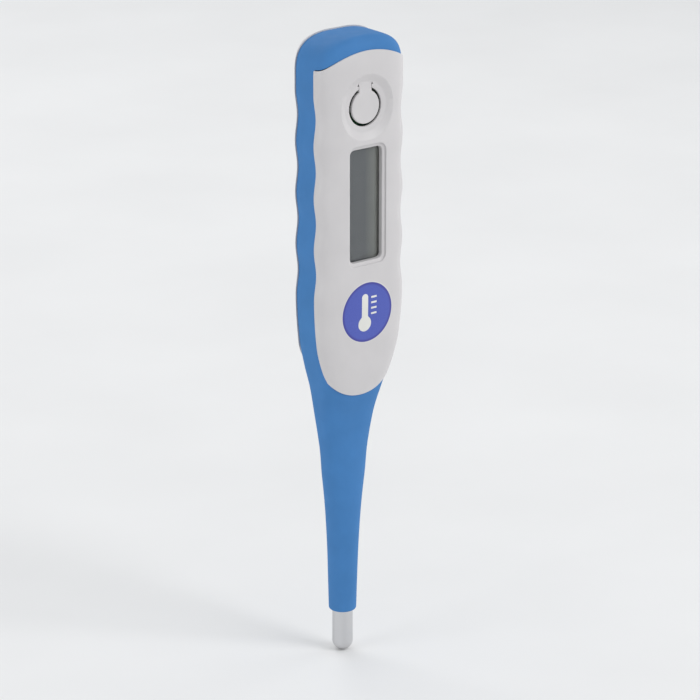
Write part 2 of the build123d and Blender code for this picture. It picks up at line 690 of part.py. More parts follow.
with BuildPart() as battery:
    round_bar(CELL_RADIUS, (CELL_FRONT, CELL_FRONT + CELL_THICKNESS), CELL_HEIGHT)
    fillet(battery.edges().filter_by(GeomType.CIRCLE), CELL_EDGE)
finish(battery.part, "battery")

with BuildPart() as battery_contact_negative:
    low, high = CELL_HEIGHT - 3.2, CELL_HEIGHT + 2.5
    pad_front = CELL_FRONT - SPRING_SHEET
    points = [(foot_front, low), (foot_back, low), (foot_back, low + 2), (CELL_FRONT, high - 1)]
    points += [(CELL_FRONT, high), (pad_front, high), (pad_front, high - 1), (foot_front, low + 2)]
    leaf(points, 2.6, 0.0)
finish(battery_contact_negative.part, "battery_contact_negative")

with BuildPart() as battery_contact_positive:
    inner, outer_face = CELL_HEIGHT + CELL_RADIUS, CELL_HEIGHT + CELL_RADIUS + SPRING_SHEET
    reach, tail = 1.6, inner + 2.5
    points = [(foot_front, inner), (reach, inner), (reach, outer_face), (foot_back, outer_face)]
    points += [(foot_back, tail), (foot_front, tail)]
    leaf(points, 3.0, 0.0)
finish(battery_contact_positive.part, "battery_contact_positive")
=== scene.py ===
"""The looks of the digital thermometer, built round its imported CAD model.

Sizes are in millimetres until a mesh is made. +Z runs up the length, the display faces -Y, and
the origin is on the probe's axis, where the steel tip leaves the neck.
"""

import json
from math import cos, pi, radians, sin, sqrt

import bmesh
import bpy
import numpy as np
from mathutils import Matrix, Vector

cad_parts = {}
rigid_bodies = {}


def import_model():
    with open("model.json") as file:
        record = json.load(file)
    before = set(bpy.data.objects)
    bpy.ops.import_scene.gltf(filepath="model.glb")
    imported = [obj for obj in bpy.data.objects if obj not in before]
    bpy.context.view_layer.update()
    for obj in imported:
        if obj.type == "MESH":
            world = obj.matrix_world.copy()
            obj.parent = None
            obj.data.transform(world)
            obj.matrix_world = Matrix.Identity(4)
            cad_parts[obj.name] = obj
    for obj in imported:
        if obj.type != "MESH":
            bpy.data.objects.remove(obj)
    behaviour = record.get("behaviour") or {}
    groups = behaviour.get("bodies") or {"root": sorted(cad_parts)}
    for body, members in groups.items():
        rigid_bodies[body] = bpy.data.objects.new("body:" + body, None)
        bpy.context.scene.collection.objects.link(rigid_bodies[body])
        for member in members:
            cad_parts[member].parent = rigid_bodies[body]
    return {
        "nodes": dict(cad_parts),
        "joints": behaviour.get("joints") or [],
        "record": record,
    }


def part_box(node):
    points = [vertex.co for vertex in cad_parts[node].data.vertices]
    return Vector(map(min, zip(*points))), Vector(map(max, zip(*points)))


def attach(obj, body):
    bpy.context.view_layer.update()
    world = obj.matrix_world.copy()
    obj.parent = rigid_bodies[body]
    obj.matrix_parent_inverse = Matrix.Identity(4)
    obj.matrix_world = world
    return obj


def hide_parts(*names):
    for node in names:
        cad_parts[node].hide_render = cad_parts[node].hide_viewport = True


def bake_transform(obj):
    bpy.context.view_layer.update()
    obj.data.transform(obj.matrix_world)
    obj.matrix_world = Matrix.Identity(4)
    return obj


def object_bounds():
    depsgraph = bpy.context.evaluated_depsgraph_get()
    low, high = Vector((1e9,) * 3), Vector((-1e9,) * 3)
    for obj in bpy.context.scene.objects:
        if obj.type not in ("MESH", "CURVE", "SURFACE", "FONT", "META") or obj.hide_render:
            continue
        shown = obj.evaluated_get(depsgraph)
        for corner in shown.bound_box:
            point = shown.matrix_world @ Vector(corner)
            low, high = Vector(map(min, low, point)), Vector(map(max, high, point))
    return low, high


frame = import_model()
cad_low, cad_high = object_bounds()

MM = 0.001

# ---------------------------------------------------------------- sizes read from the frame


def measure(node):
    """Lowest and highest corner of a CAD node, in millimetres."""
    low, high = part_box(node)
    return np.array(low) / MM, np.array(high) / MM


neck_joints = [joint for joint in frame["joints"] if joint["name"].startswith("neck_")]
neck_joints.sort(key=lambda joint: -joint["pos_m"][2])
hinges = [joint["pos_m"][2] / MM for joint in neck_joints]
chain = [neck_joints[0]["parent"]] + [joint["child"] for joint in neck_joints]
pitch = hinges[0] - hinges[1]
cuts = [hinge + pitch / 2 for hinge in hinges] + [hinges[-1] - pitch / 2]

body_high = np.max([measure(node)[1] for node in ("front_cover", "rear_cover", "soft_body")], axis=0)
HALF_WIDTH, REAR_FLAT, BODY_TOP = body_high

panel_low, panel_high = measure("lcd_window")
window_height = (panel_low[2] + panel_high[2]) / 2
lens_margin = 0.8
window_half_width = panel_high[0] - lens_margin
window_half_length = (panel_high[2] - panel_low[2]) / 2 - lens_margin

button_low, button_high = measure("button")
button_radius = button_high[0]
button_height = button_low[2] + button_radius
bridge_top = button_high[2]

badge_low, badge_high = measure("round_badge")
badge_radius = badge_high[0]
badge_height = (badge_low[2] + badge_high[2]) / 2

door_low, door_high = measure("battery_door")
tip_low, tip_high = measure("probe_tip")
cell_low, cell_high = measure("battery")
cell_height = (cell_low[2] + cell_high[2]) / 2

board_low, board_high = measure("circuit_board")
board_front, board_back = board_low[1], board_high[1]
screws_low, screws_high = measure("board_screws")
head_radius = screws_high[0]
screw_heights = (screws_low[2] + head_radius, screws_high[2] - head_radius)

# ---------------------------------------------------------------- the outer form

# Height, half width, front, rear, and squareness: 2 is an ellipse, more is boxier.
STATIONS = (
    (0.0, 3.10, -3.10, 3.10, 2.0),
    (12.0, 3.45, -3.45, 3.30, 2.0),
    (23.0, 4.05, -3.75, 3.32, 2.1),
    (35.0, 5.35, -4.25, 3.36, 2.3),
    (42.0, 6.35, -4.60, 3.40, 2.5),
    (47.0, 7.20, -5.05, 3.45, 2.7),
    (54.0, 8.55, -6.85, REAR_FLAT, 3.0),
    (60.0, 10.05, -8.10, REAR_FLAT, 3.6),
    (66.0, 11.15, -8.70, REAR_FLAT, 4.1),
    (76.4, HALF_WIDTH, -9.00, REAR_FLAT, 4.5),
)
REAR_BOXIER = 0.8  # the rear is squarer than the front by this share
GRIP_START = STATIONS[-1][0]
GRIP_PITCH = 11.6
GRIP_COUNT = 4
GRIP_DEPTH = 0.6
DOME_START = 126.0
DOME_POWER = 2.8
END_RADIUS = 2.5

SEAM_FRONT = -5.0
SEAM_REAR = 1.9
COVER_WALL = 1.4
SOFT_INSET = 0.25
SOFT_WALL = 1.55
CAVITY_LOW = 60.0
TONGUE_END = 53.1
TONGUE_RADIUS = 11.0
TONGUE_REACH = 10.5
REAR_TONGUE_END = 57.0
ARCH_TOP = 131.6
ARCH_RADIUS = 21.0
ARCH_REACH = 13.0
ZONE_REACH = 16.0
BORE_RADIUS = 0.9

# Height and level in y of the front cover's edge: it comes forward round the tongue.
SEAM_RISE = ((50.0, -6.50), (53.1, -6.30), (57.0, -5.75), (62.0, -5.25), (70.0, SEAM_FRONT))


def curve(at, places, values):
    """A smooth curve through the points that never overshoots them, level at its last one."""
    slopes = np.diff(values) / np.diff(places)
    tangents = np.zeros(len(places))
    tangents[0] = slopes[0]
    same = slopes[:-1] * slopes[1:] > 0
    before, after = slopes[:-1][same], slopes[1:][same]
    tangents[1:-1][same] = 2 * before * after / (before + after)
    span = np.clip(np.searchsorted(places, at, side="right") - 1, 0, len(places) - 2)
    width = np.diff(places)[span]
    share = (at - places[span]) / width
    start = values[span] + share**2 * (3 - 2 * share) * (values[span + 1] - values[span])
    bend = (1 - share) * tangents[span] - share * tangents[span + 1]
    return start + width * share * (1 - share) * bend


def section(height, inset=0.0):
    """Half width, front, rear, and the front's and rear's squareness of the form at a height."""
    places, widths, fronts, rears, squares = np.array(STATIONS).T
    height = np.asarray(height, float)
    at = np.clip(height, places[0], places[-1])
    grip = np.clip((height - GRIP_START) / GRIP_PITCH, 0, GRIP_COUNT)
    half_width = curve(at, places, widths) - GRIP_DEPTH / 2 * (1 - np.cos(2 * pi * grip)) - inset
    top = BODY_TOP - inset
    rise = np.clip((height - DOME_START) / (top - DOME_START), 0, 1)
    half_width = half_width * (1 - rise**DOME_POWER) ** (1 / DOME_POWER)
    tuck = np.clip((height - top + END_RADIUS) / END_RADIUS, 0, 1)
    tuck = END_RADIUS * (1 - np.sqrt(1 - tuck**2))
    front = curve(at, places, fronts) + inset + tuck
    rear = curve(at, places, rears) - inset - tuck
    square = curve(at, places, squares)
    return half_width, front, rear, square, square + REAR_BOXIER * (square - 2)


def front_seam(height):
    """Level in y of the front cover's edge at a height."""
    places, levels = np.array(SEAM_RISE).T
    return curve(np.clip(height, places[0], places[-1]), places, levels)


def rear_seam(height):
    """Level in y of the rear cover's edge, the same at every height."""
    return SEAM_REAR + 0 * np.asarray(height, float)


def ring(height, count, inset=0.0):
    """Evenly spaced points round the form at one height, from the middle of its front."""
    half_width, front, rear, square_front, square_rear = section(height, inset)
    turn = np.linspace(-pi / 2, 3 * pi / 2, 1441)
    across, along = np.cos(turn), np.sin(turn)
    power = 2 / np.where(along < 0, square_front, square_rear)
    x = half_width * np.sign(across) * np.abs(across) ** power
    y = (front + rear) / 2 + (rear - front) / 2 * np.sign(along) * np.abs(along) ** power
    length = np.r_[0, np.cumsum(np.hypot(np.diff(x), np.diff(y)))]
    even = np.linspace(0, length[-1], count, endpoint=False)
    points = [np.interp(even, length, x), np.interp(even, length, y), np.full(count, height)]
    return np.column_stack(points)


def circle(radius, height, count):
    """A ring of the same kind, round the probe's axis."""
    turn = np.linspace(-pi / 2, 3 * pi / 2, count, endpoint=False)
    return np.column_stack([radius * np.cos(turn), radius * np.sin(turn), np.full(count, height)])


def skin(x, height, rear=False, inset=0.0):
    """Level in y of the form's front or rear face over a place in the XZ plane."""
    half_width, front, back, square_front, square_rear = section(height, inset)
    square = square_rear if rear else square_front
    across = np.clip(np.abs(x) / np.maximum(half_width, 1e-6), 0, 1)
    swell = (1 - across**square) ** (1 / square) * (back - front) / 2
    return (front + back) / 2 + (swell if rear else -swell)


def wrap(share, height, seam, rear=False):
    """Point at a share (-1 to 1) of the way round the face, from its middle to the seam."""
    half_width, front, back, square_front, square_rear = section(height)
    square = square_rear if rear else square_front
    side = 1 if rear else -1
    middle, depth = (front + back) / 2, (back - front) / 2
    limit = np.arccos(np.clip(side * (seam - middle) / depth, 0, 1) ** (square / 2))
    steps = np.linspace(0, 1, 161)
    turn = limit * steps**2.2
    x = half_width * np.sin(turn) ** (2 / square)
    y = depth * np.cos(turn) ** (2 / square)
    length = np.r_[0, np.cumsum(np.hypot(np.diff(x), np.diff(y)))]
    turn = limit * np.interp(abs(share) * length[-1], length, steps) ** 2.2
    x = half_width * sin(turn) ** (2 / square) * (1 if share > 0 else -1)
    return np.array([x, middle + side * depth * cos(turn) ** (2 / square), height])


# ---------------------------------------------------------------- materials


class Nodes:
    """A material's node tree, with short calls for the nodes used here."""

    def __init__(self, name):
        self.material = bpy.data.materials.new(name)
        self.material.use_nodes = True
        self.tree = self.material.node_tree
        self.shader = self.tree.nodes["Principled BSDF"]
        self.place = self.node("ShaderNodeTexCoord").outputs["Object"]

    def node(self, kind, inputs=None, **settings):
        made = self.tree.nodes.new(kind)
        for key, value in settings.items():
            setattr(made, key, value)
        for key, value in (inputs or {}).items():
            self.put(made.inputs[key], value)
        return made

    def put(self, socket, value):
        if isinstance(value, bpy.types.NodeSocket):
            self.tree.links.new(value, socket)
        else:
            socket.default_value = value

    def noise(self, size, detail=3.0, stretch=None):
        """Noise whose features are about size millimetres across."""
        place = self.place
        if stretch:
            place = self.node("ShaderNodeMapping", {"Vector": place, "Scale": stretch}).outputs[0]
        inputs = {"Vector": place, "Scale": 1 / (size * MM), "Detail": detail}
        return self.node("ShaderNodeTexNoise", inputs).outputs["Fac"]

    def ramp(self, value, low, high, start=0.0, end=1.0):
        """Value from start..end, mapped to low..high."""
        inputs = {"Value": value, "From Min": start, "From Max": end, "To Min": low, "To Max": high}
        return self.node("ShaderNodeMapRange", inputs).outputs["Result"]

    def mix(self, share, first, second):
        made = self.node("ShaderNodeMix", data_type="RGBA")
        self.put(made.inputs["Factor"], share)
        for socket, colour in ((made.inputs["A"], first), (made.inputs["B"], second)):
            self.put(socket, colour if isinstance(colour, bpy.types.NodeSocket) else (*colour, 1))
        return made.outputs["Result"]

    def math(self, operation, first, second=0.0):
        made = self.node("ShaderNodeMath", operation=operation)
        self.put(made.inputs[0], first)
        self.put(made.inputs[1], second)
        return made.outputs[0]

    def bump(self, height, depth):
        """Bump of the given depth in millimetres."""
        inputs = {"Height": height, "Distance": depth * MM, "Strength": 1.0}
        self.put(self.shader.inputs["Normal"], self.node("ShaderNodeBump", inputs).outputs[0])

    def set(self, **values):
        for key, value in values.items():
            self.put(self.shader.inputs[key.replace("_", " ")], value)
        return self.material


def tint(colour, factor):
    return tuple(min(1.0, channel * factor) for channel in colour)


def moulded(name, colour, roughness, grain, depth, mottle=0.03, **more):
    """Moulded plastic: a fine spark-eroded grain, and slight unevenness in colour and gloss."""
    nodes = Nodes(name)
    cloud = nodes.ramp(nodes.noise(6.0, 2.0), 0, 1, 0.3, 0.7)
    base = nodes.mix(cloud, tint(colour, 1 - mottle), tint(colour, 1 + mottle))
    fine = nodes.noise(grain, 4.0)
    rough = nodes.ramp(nodes.noise(2.2, 3.0), roughness - 0.05, roughness + 0.05, 0.3, 0.7)
    nodes.bump(fine, depth)
    return nodes.set(Base_Color=base, Roughness=rough, **more)


def metal(name, colour, roughness, stretch, size=0.4, depth=0.002):
    """Worked metal, with fine marks along one direction."""
    nodes = Nodes(name)
    marks = nodes.noise(size, 5.0, stretch)
    base = nodes.mix(nodes.ramp(marks, 0, 1, 0.3, 0.7), tint(colour, 0.93), colour)
    rough = nodes.ramp(marks, roughness * 0.8, roughness * 1.25, 0.3, 0.7)
    nodes.bump(marks, depth)
    return nodes.set(Base_Color=base, Roughness=rough, Metallic=1.0)


def clear_plastic(name):
    """Thin clear acrylic: it lets light straight through, and its outer side keeps its gloss."""
    nodes = Nodes(name)
    glass = nodes.node("ShaderNodeBsdfTransparent", {"Color": (0.93, 0.945, 0.95, 1)})
    smears = nodes.ramp(nodes.noise(7.0, 3.0), 0.03, 0.10, 0.3, 0.8)
    gloss = nodes.node("ShaderNodeBsdfGlossy", {"Roughness": smears})
    edge = nodes.node("ShaderNodeFresnel", {"IOR": 1.49})
    outside = nodes.math("SUBTRACT", 1.0, nodes.node("ShaderNodeNewGeometry").outputs["Backfacing"])
    share = nodes.math("MULTIPLY", edge.outputs[0], outside)
    mixed = nodes.node("ShaderNodeMixShader", {0: share})
    nodes.put(mixed.inputs[1], glass.outputs[0])
    nodes.put(mixed.inputs[2], gloss.outputs[0])
    nodes.put(nodes.tree.nodes["Material Output"].inputs["Surface"], mixed.outputs[0])
    return nodes.material


def display_material(name):
    """An unlit reflective display: cool grey with a fine mesh, and painted light that makes it lighter
    and yellower towards its right edge.
    """
    nodes = Nodes(name)
    apart = nodes.node("ShaderNodeSeparateXYZ", {"Vector": nodes.place})
    # painted light: this mask makes the display lighter and yellower towards its right edge, where the
    # window's wall casts shade
    right = nodes.ramp(apart.outputs["X"], 0, 1, 0.8 * MM, 4.0 * MM)
    cloud = nodes.ramp(nodes.noise(9.0, 2.0), 0, 1, 0.3, 0.7)
    grey = nodes.mix(cloud, (0.100, 0.102, 0.106), (0.108, 0.110, 0.114))
    # painted light: the lighter, yellower colour mixed in at the right edge
    base = nodes.mix(right, grey, (0.230, 0.225, 0.200))
    nodes.bump(nodes.noise(0.12, 2.0), 0.003)
    return nodes.set(Base_Color=base, Roughness=0.34, Coat_Weight=0.3)


def badge_material(name):
    """Printed disc: violet blue, with a darker rim and a thin pale border."""
    nodes = Nodes(name)
    apart = nodes.node("ShaderNodeSeparateXYZ", {"Vector": nodes.place})
    up = nodes.math("SUBTRACT", apart.outputs["Z"], badge_height * MM)
    square = nodes.math("ADD", nodes.math("POWER", apart.outputs["X"], 2), nodes.math("POWER", up, 2))
    out = nodes.math("SQRT", square)
    rim = nodes.ramp(out, 0, 1, (badge_radius - 0.9) * MM, (badge_radius - 0.5) * MM)
    border = nodes.ramp(out, 0, 1, (badge_radius - 0.24) * MM, (badge_radius - 0.16) * MM)
    dots = nodes.ramp(nodes.noise(0.25, 2.0), 0, 1, 0.35, 0.65)
    inner = nodes.mix(dots, (0.060, 0.090, 0.42), (0.070, 0.102, 0.45))
    blue = nodes.mix(rim, inner, (0.046, 0.050, 0.31))
    base = nodes.mix(border, blue, (0.66, 0.65, 0.64))
    nodes.bump(nodes.noise(0.5, 3.0), 0.004)
    return nodes.set(Base_Color=base, Roughness=0.36)


def board_material(name):
    """Green solder mask over faint copper tracks, on a glass weave."""
    nodes = Nodes(name)
    brick = nodes.node("ShaderNodeTexBrick", {"Vector": nodes.place, "Scale": 260.0, "Mortar Size": 0.06})
    tracks = brick.outputs["Fac"]
    base = nodes.mix(tracks, (0.012, 0.13, 0.045), (0.03, 0.22, 0.08))
    nodes.bump(tracks, 0.02)
    return nodes.set(Base_Color=base, Roughness=0.35, Coat_Weight=0.4)


def striped_material(name):
    """Conductive elastomer: thin black layers between red ones, stacked along Z."""
    nodes = Nodes(name)
    wave = nodes.node("ShaderNodeTexWave", {"Vector": nodes.place, "Scale": 900.0}, bands_direction="Z")
    base = nodes.mix(wave.outputs["Fac"], (0.03, 0.02, 0.02), (0.50, 0.13, 0.16))
    nodes.bump(wave.outputs["Fac"], 0.01)
    return nodes.set(Base_Color=base, Roughness=0.6)


COVER_GREY = (0.600, 0.583, 0.588)
SOFT_BLUE = (0.062, 0.205, 0.470)

FINISHES = {
    "cover_grey": moulded("cover_grey", COVER_GREY, 0.42, 0.16, 0.010, 0.02),
    "soft_blue": moulded("soft_blue", SOFT_BLUE, 0.62, 0.22, 0.010, 0.04, Specular_IOR_Level=0.12),
    "steel": metal("steel", (0.66, 0.66, 0.67), 0.20, (1.0, 1.0, 14.0)),
    "window_clear": clear_plastic("window_clear"),
    "display": display_material("display"),
    "badge_print": badge_material("badge_print"),
    "frame_white": moulded("frame_white", (0.62, 0.62, 0.58), 0.45, 0.3, 0.01),
    "board": board_material("board"),
    "elastomer": striped_material("elastomer"),
    "screw_steel": metal("screw_steel", (0.55, 0.55, 0.57), 0.30, (1.0, 9.0, 1.0), 0.2),
    "coating": moulded("coating", (0.012, 0.012, 0.012), 0.30, 0.8, 0.02),
    "ceramic_chip": moulded("ceramic_chip", (0.22, 0.13, 0.07), 0.40, 0.1, 0.005),
    "buzzer_brass": metal("buzzer_brass", (0.78, 0.57, 0.22), 0.28, (9.0, 1.0, 1.0)),
    "buzzer_white": moulded("buzzer_white", (0.70, 0.69, 0.62), 0.35, 0.3, 0.006),
    "contact": metal("contact", (0.75, 0.66, 0.42), 0.30, (1.0, 1.0, 9.0), 0.2),
    "cell_steel": metal("cell_steel", (0.62, 0.62, 0.63), 0.26, (6.0, 1.0, 6.0), 0.5),
    "sensor_glass": moulded("sensor_glass", (0.02, 0.02, 0.02), 0.20, 0.4, 0.01),
    "wire": moulded("wire", (0.32, 0.05, 0.03), 0.30, 0.2, 0.003),
    "potting": moulded("potting", (0.50, 0.43, 0.24), 0.30, 0.5, 0.01),
    "mark_white": moulded("mark_white", (0.74, 0.74, 0.70), 0.40, 0.3, 0.006),
}


def dress(piece, slot):
    piece.data.materials.clear()
    piece.data.materials.append(FINISHES[slot])


for part in frame["record"]["subparts"]:
    dress(frame["nodes"][part["node"]], part["material_slot"])

# ---------------------------------------------------------------- mesh making


def add(name, data):
    """A new object in the scene."""
    thing = bpy.data.objects.new(name, data)
    bpy.context.scene.collection.objects.link(thing)
    return thing


def make(name, points, faces):
    """A mesh object from points in millimetres, merged and facing outward."""
    mesh = bpy.data.meshes.new(name)
    mesh.from_pydata((np.asarray(points, float) * MM).tolist(), [], faces)
    work = bmesh.new()
    work.from_mesh(mesh)
    bmesh.ops.remove_doubles(work, verts=work.verts, dist=1e-4 * MM)
    bmesh.ops.recalc_face_normals(work, faces=work.faces)
    work.to_mesh(mesh)
    work.free()
    return add(name, mesh)


def shade(piece, limit=35):
    """Smooth shading, apart from edges that turn by more than limit degrees."""
    work = bmesh.new()
    work.from_mesh(piece.data)
    for face in work.faces:
        face.smooth = True
    for edge in work.edges:
        edge.smooth = len(edge.link_faces) == 2 and edge.calc_face_angle(0) < radians(limit)
    work.to_mesh(piece.data)
    work.free()


def settle(piece):
    """Bakes the piece's modifiers into its mesh."""
    mesh = bpy.data.meshes.new_from_object(piece.evaluated_get(bpy.context.evaluated_depsgraph_get()))
    piece.modifiers.clear()
    piece.data = mesh


def combine(piece, other, operation):
    """Cuts other out of the piece, or joins it on, and removes other."""
    modifier = piece.modifiers.new("combine", "BOOLEAN")
    modifier.object = other
    modifier.operation = operation
    modifier.solver = "MANIFOLD"
    settle(piece)
    bpy.data.objects.remove(other)


def cut(piece, *cutters):
    for cutter in cutters:
        combine(piece, cutter, "DIFFERENCE")


def join(piece, *others):
    for other in others:
        combine(piece, other, "UNION")


def place(piece, slot, body, *nodes, weighted=False):
    """Last steps for a finished piece: shading, material, body, and the nodes it stands for."""
    shade(piece)
    if weighted:
        normals = piece.modifiers.new("normals", "WEIGHTED_NORMAL")
        normals.keep_sharp = True
    dress(piece, slot)
    if body:
        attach(piece, body)
    if nodes:
        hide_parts(*nodes)
    return piece


def bridge(first, second, count, closed=True):
    """Quads between two rings that start at the given point numbers."""
    last = count if closed else count - 1
    return [
        (first + i, first + (i + 1) % count, second + (i + 1) % count, second + i) for i in range(last)
    ]


def loft(name, rings, capped=True):
    """Skin over rings of equal count: capped at both ends, or joined from the last to the first."""
    count = len(rings[0])
    faces = []
    for level in range(len(rings) - 1):
        faces += bridge(level * count, (level + 1) * count, count)
    last = (len(rings) - 1) * count
    if capped:
        faces += [tuple(range(count)), tuple(range(last, last + count))]
    else:
        faces += bridge(last, 0, count)
    return make(name, np.concatenate(rings), faces)


def lathe(name, profile, centre=(0.0, 0.0, 0.0), along="Z", count=96):
    """A turned solid from (radius, place along the axis) pairs that start and end on the axis."""
    points, faces, previous = [], [], None
    turn = np.linspace(0, 2 * pi, count, endpoint=False)
    for radius, level in profile:
        start = len(points)
        single = radius < 1e-9
        for angle in turn[: 1 if single else count]:
            a, b = radius * cos(angle), radius * sin(angle)
            points.append((a, b, level) if along == "Z" else (a, level, b))
        if previous is not None:
            before, was_single = previous
            if single:
                faces += [(before + i, before + (i + 1) % count, start) for i in range(count)]
            elif was_single:
                faces += [(start + i, start + (i + 1) % count, before) for i in range(count)]
            else:
                faces += bridge(before, start, count)
        previous = (start, single)
    return make(name, np.array(points) + centre, faces)


def rod(name, radius, y, centre, count):
    """A round bar along Y, between two levels in y."""
    return lathe(name, [(0, y[0]), (radius, y[0]), (radius, y[1]), (0, y[1])], centre, "Y", count)


def prism(name, outline, y):
    """A solid with an outline in the XZ plane, between two levels in y."""
    rings = [[(x, level, z) for x, z in outline] for level in y]
    return loft(name, [np.array(points) for points in rings])


def block(name, x, y, z):
    """A box between two levels along each axis."""
    return prism(name, [(x[0], z[0]), (x[1], z[0]), (x[1], z[1]), (x[0], z[1])], y)


def side_prism(name, outline, x):
    """A solid with an outline in the YZ plane, between two levels in x."""
    return loft(name, [np.array([(level, y, z) for y, z in outline]) for level in x])


def arc(centre, radius, start, end, steps):
    """Points on an arc in the XZ plane, between two angles in degrees from +X towards +Z."""
    turn = np.radians(np.linspace(start, end, steps))
    return [(centre[0] + radius * cos(a), centre[1] + radius * sin(a)) for a in turn]


def slab(name, outer, inner):
    """A closed solid between two grids of points of the same size."""
    rows, columns = outer.shape[:2]
    under = rows * columns
    number = np.arange(under).reshape(rows, columns)
    faces = []
    for base in (0, under):
        for row in range(rows - 1):
            faces += bridge(base + number[row, 0], base + number[row + 1, 0], columns, closed=False)
    edge = list(number[0]) + list(number[1:, -1]) + list(number[-1, -2::-1]) + list(number[-2:0:-1, 0])
    for here, there in zip(edge, edge[1:] + edge[:1]):
        faces.append((here, there, there + under, here + under))
    return make(name, np.concatenate([outer.reshape(-1, 3), inner.reshape(-1, 3)]), faces)


def shell(name, grid, wall, seam):
    """A moulded shell. The grid is its outer face, and its inner one lies a wall's thickness
    under it, but never past the level of the seam."""
    normal = np.cross(np.gradient(grid, axis=1), np.gradient(grid, axis=0))
    normal /= np.linalg.norm(normal, axis=2, keepdims=True)
    centre = np.array([0, (SEAM_FRONT + SEAM_REAR) / 2, 0])
    if ((grid - centre)[..., :2] * normal[..., :2]).sum() < 0:
        normal = -normal
    inner = grid - wall * normal
    facing_front = grid[..., 1].mean() < centre[1]
    keep = np.minimum if facing_front else np.maximum
    inner[..., 1] = keep(inner[..., 1], seam(inner[..., 2]))
    return slab(name, grid, inner)


def soften(piece, width):
    """Rounds the piece's hard edges."""
    bevel = piece.modifiers.new("soften", "BEVEL")
    bevel.width = width * MM
    bevel.segments = 3
    bevel.limit_method = "ANGLE"
    bevel.angle_limit = radians(50)
    settle(piece)


def rows_between(low, high, count, ease):
    """Heights from low to high, closer together towards both ends as ease goes to 1."""
    even = np.linspace(0, 1, count)
    eased = (1 - np.cos(pi * even)) / 2
    return low + (high - low) * ((1 - ease) * even + ease * eased)


def zone_outline(tongue_end, arched):
    """Outline in the XZ plane of the room that a cover fills in the soft body."""
    half = np.degrees(np.arcsin(TONGUE_REACH / TONGUE_RADIUS))
    tongue = arc((0, tongue_end + TONGUE_RADIUS), TONGUE_RADIUS, 270 - half, 270 + half, 65)
    corner = tongue[-1][1]
    if not arched:
        right = [(ZONE_REACH, corner), (ZONE_REACH, BODY_TOP + ZONE_REACH)]
        return tongue + right + [(-x, z) for x, z in reversed(right)]
    half = np.degrees(np.arcsin(ARCH_REACH / ARCH_RADIUS))
    arch = arc((0, ARCH_TOP - ARCH_RADIUS), ARCH_RADIUS, 90 - half, 90 + half, 65)
    shoulder = arch[0][1]
    right = [(ZONE_REACH, corner), (ZONE_REACH, shoulder)]
    return tongue + right + arch + [(-x, z) for x, z in reversed(right)]


def face_grid(shares, tongue_end, top_of, seam, rows, rear=False):
    """Grid of points over a cover's face: columns run up from its tongue's arc to its top."""
    centre = tongue_end + TONGUE_RADIUS
    columns = []
    for share in shares:
        low = tongue_end
        for _ in range(40):
            x = wrap(share, low, seam(low), rear)[0]
            low = centre - sqrt(max(TONGUE_RADIUS**2 - x * x, 0.0))
        high = top_of(share)
        heights = rows_between(low, high, rows, 0.35)
        columns.append([wrap(share, height, seam(height), rear) for height in heights])
    return np.array(columns).transpose(1, 0, 2)


# ---------------------------------------------------------------- front cover


def arch_height(share):
    """Height of the arch at the cover's top, at a share of the way round the face."""
    height = ARCH_TOP
    for _ in range(40):
        x = wrap(share, height, SEAM_FRONT)[0]
        height = ARCH_TOP - ARCH_RADIUS + sqrt(ARCH_RADIUS**2 - x * x)
    return height


# How the window's edge runs inward: how far outside the opening, and the level in y.
WINDOW_EDGE = (
    (1.40, -9.50),
    (0.96, -9.03),
    (0.84, -8.97),
    (0.76, -8.86),
    (0.70, -8.62),
    (0.60, -8.54),
    (0.22, -8.46),
    (0.08, -8.38),
    (0.00, -8.24),
    (0.00, -6.90),
)
WINDOW_CORNER = 1.1


def rounded_rectangle(half_width, half_length, corner, middle, steps=10):
    """Outline in the XZ plane of a rectangle with round corners, centred on the height middle."""
    outline = []
    for index, (x, z) in enumerate(((1, -1), (1, 1), (-1, 1), (-1, -1))):
        centre = (x * (half_width - corner), middle + z * (half_length - corner))
        outline += arc(centre, corner, 90 * index - 90, 90 * index, steps)
    return outline


def window_cutter():
    rings = []
    for grow, level in WINDOW_EDGE:
        wide, long = window_half_width + grow, window_half_length + grow
        outline = rounded_rectangle(wide, long, WINDOW_CORNER + grow, window_height)
        rings.append(np.array([(x, level, z) for x, z in outline]))
    return loft("window_cutter", rings)


BUTTON_GAP = 0.6
DISH_FLOOR = -8.1
# The dish round the button, as (radius, level in y).
DISH_PROFILE = (
    (0.00, -9.60),
    (7.75, -9.40),
    (7.45, -9.05),
    (7.25, -8.96),
    (7.05, -8.84),
    (5.88, -8.25),
    (5.66, -8.15),
    (5.40, DISH_FLOOR),
    (button_radius + BUTTON_GAP + 0.16, DISH_FLOOR),
    (button_radius + BUTTON_GAP + 0.05, DISH_FLOOR + 0.05),
    (button_radius + BUTTON_GAP, DISH_FLOOR + 0.16),
    (button_radius + BUTTON_GAP, -5.0),
    (0.00, -5.0),
)
BRIDGE_HALF_WIDTH = 1.7
BRIDGE_GAP = 0.09
RELIEF_RADIUS = 0.26
RELIEF_SHIFT = 0.12  # how far outside the bridge the round end of its slot is centred

# The frame behind the window, past the opening's sides and ends.
RIM_SIDE = 1.85
RIM_END = 2.3
RIM_CORNER = 1.5
RIM_FRONT = -8.2

BOSS_RADIUS = 1.6
BOSS_FRONT = -8.0
SCREW_HOLE_RADIUS = 0.7
SCREW_HOLE_FRONT = -6.4


